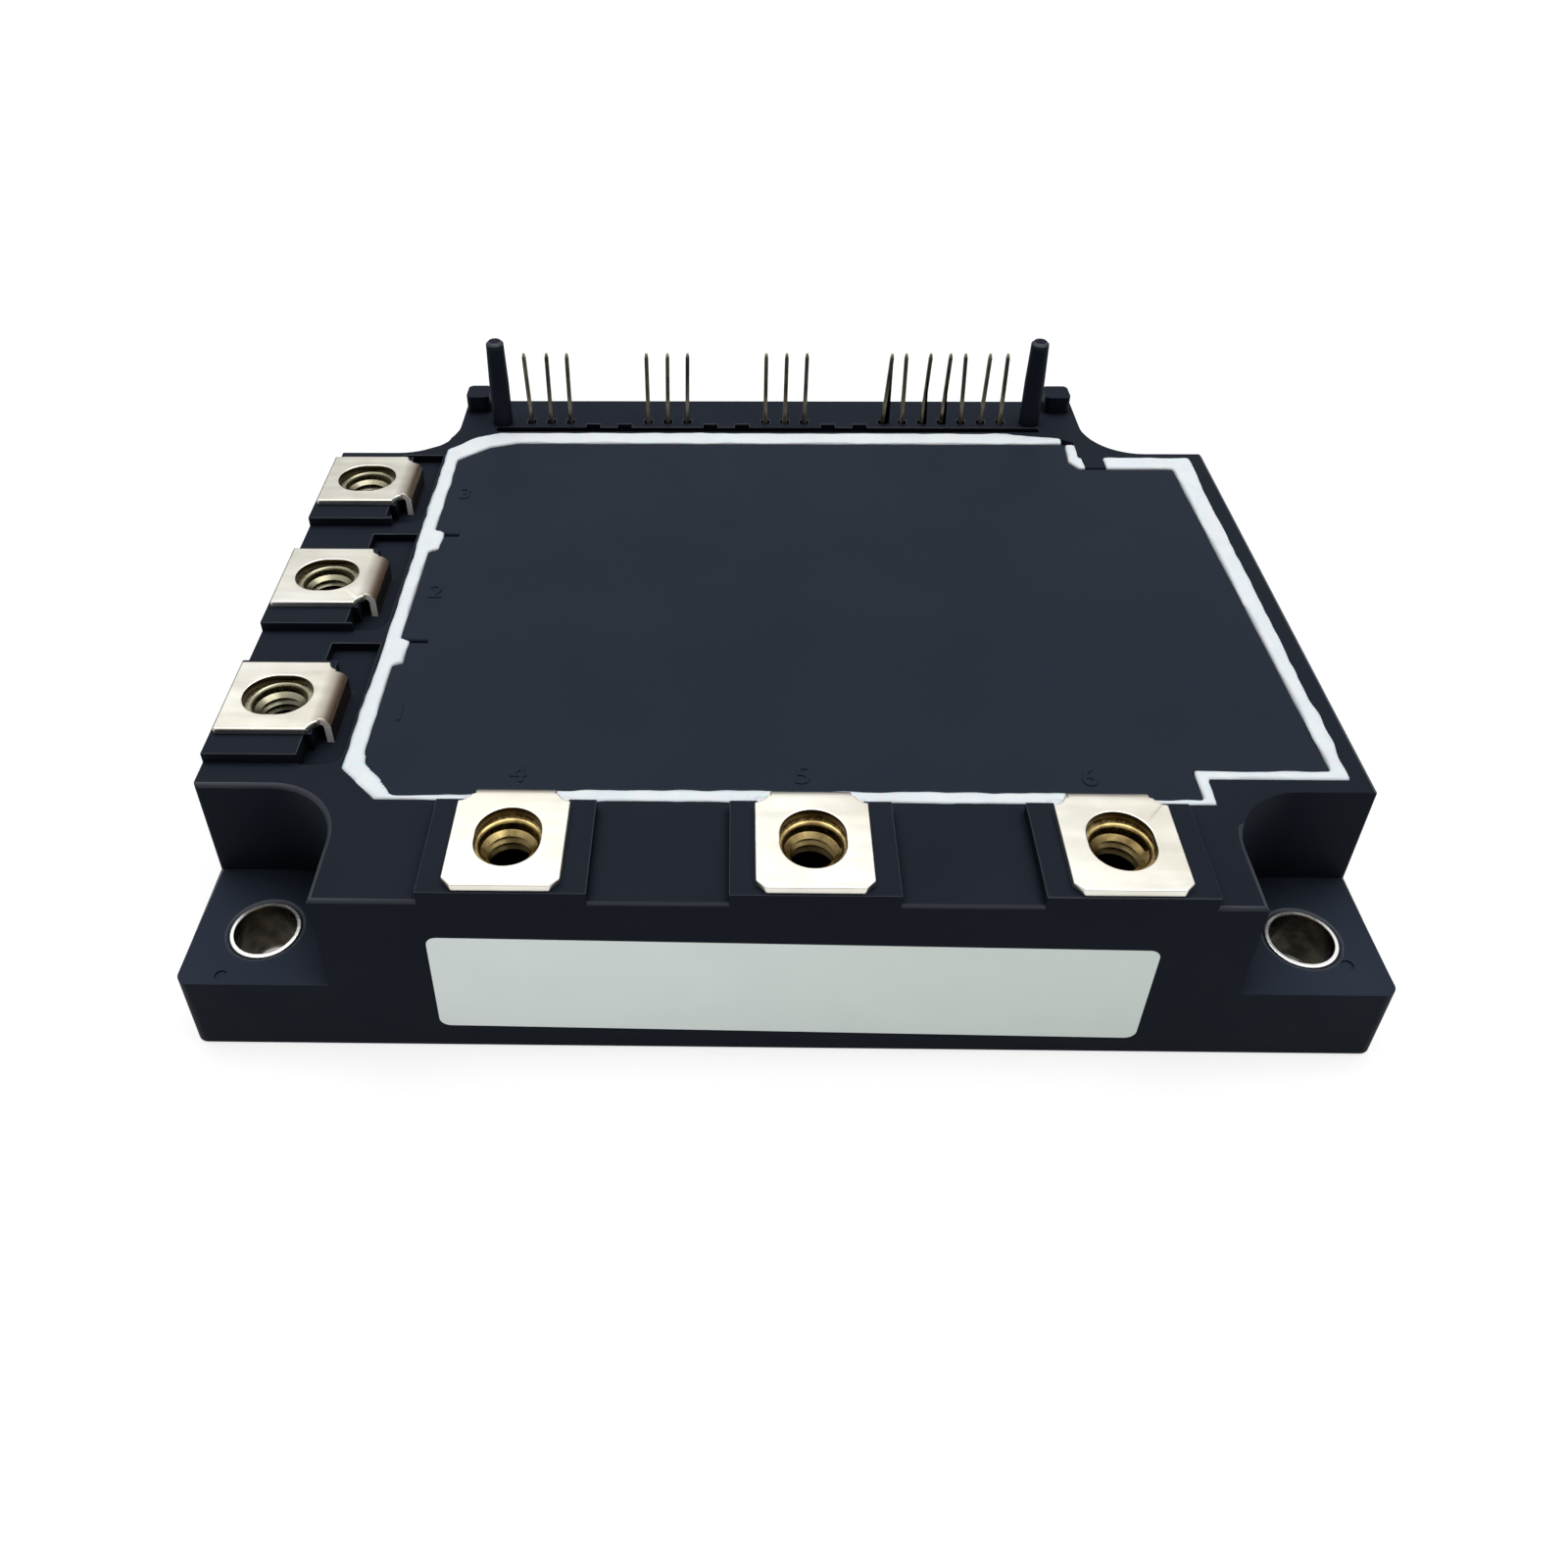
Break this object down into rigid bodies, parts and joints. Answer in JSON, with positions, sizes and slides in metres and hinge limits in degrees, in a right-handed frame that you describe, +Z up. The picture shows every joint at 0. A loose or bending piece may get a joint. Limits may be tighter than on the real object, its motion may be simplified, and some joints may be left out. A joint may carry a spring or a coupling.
{
  "type": "igbt module",
  "caption": "Flat black power module with screw terminals on two edges, control pins between guide pins and four collared mounting corners.",
  "frame": {"origin": "middle of the underside, on the heatsink face", "axes": "+X along the row of front terminals, +Y towards the control pins, +Z up out of the lid"},
  "size_m": [0.108, 0.087, 0.0315],
  "materials": {
    "case_plastic": "moulded, fine matt texture",
    "lid_plastic": "moulded, matt",
    "bead_silicone": "white silicone bead",
    "label_foil": "silver foil, satin",
    "plate_metal": "nickel-plated copper, satin",
    "collar_metal": "turned, plated",
    "terminal_nickel": "nickel-plated copper strip",
    "nut_brass": "yellow passivated",
    "pin_metal": "tinned brass",
    "substrate_ceramic": "white ceramic",
    "circuit_copper": "etched copper",
    "silicon": "metallised die",
    "wire_aluminium": "bright wire",
    "component_black": "moulded epoxy",
    "board_green": "glass-epoxy board with solder resist",
    "capacitor_ceramic": "multilayer ceramic",
    "gel_silicone": "soft clear potting"
  },
  "bodies": {
    "root": {"case": "case_plastic", "lid": "lid_plastic", "lid_adhesive": "bead_silicone", "label": "label_foil", "base_plate": "plate_metal", "collar_front_left": "collar_metal", "collar_front_right": "collar_metal", "collar_back_left": "collar_metal", "collar_back_right": "collar_metal", "terminal_w": "terminal_nickel", "terminal_v": "terminal_nickel", "terminal_u": "terminal_nickel", "terminal_n": "terminal_nickel", "terminal_p": "terminal_nickel", "terminal_b": "terminal_nickel", "nut_w": "nut_brass", "nut_v": "nut_brass", "nut_u": "nut_brass", "nut_n": "nut_brass", "nut_p": "nut_brass", "nut_b": "nut_brass", "control_pin_1": "pin_metal", "control_pin_2": "pin_metal", "control_pin_3": "pin_metal", "control_pin_4": "pin_metal", "control_pin_5": "pin_metal", "control_pin_6": "pin_metal", "control_pin_7": "pin_metal", "control_pin_8": "pin_metal", "control_pin_9": "pin_metal", "control_pin_10": "pin_metal", "control_pin_11": "pin_metal", "control_pin_12": "pin_metal", "control_pin_13": "pin_metal", "control_pin_14": "pin_metal", "control_pin_15": "pin_metal", "control_pin_16": "pin_metal", "ceramic_left": "substrate_ceramic", "ceramic_right": "substrate_ceramic", "circuit_copper_left": "circuit_copper", "circuit_copper_right": "circuit_copper", "backing_copper_left": "circuit_copper", "backing_copper_right": "circuit_copper", "igbt_chips": "silicon", "diode_chips": "silicon", "bond_wires": "wire_aluminium", "gate_leads": "pin_metal", "thermistor": "component_black", "control_board": "board_green", "driver_ics": "component_black", "board_capacitors": "capacitor_ceramic", "board_resistors": "component_black", "silicone_gel": "gel_silicone"}
  },
  "joints": []
}
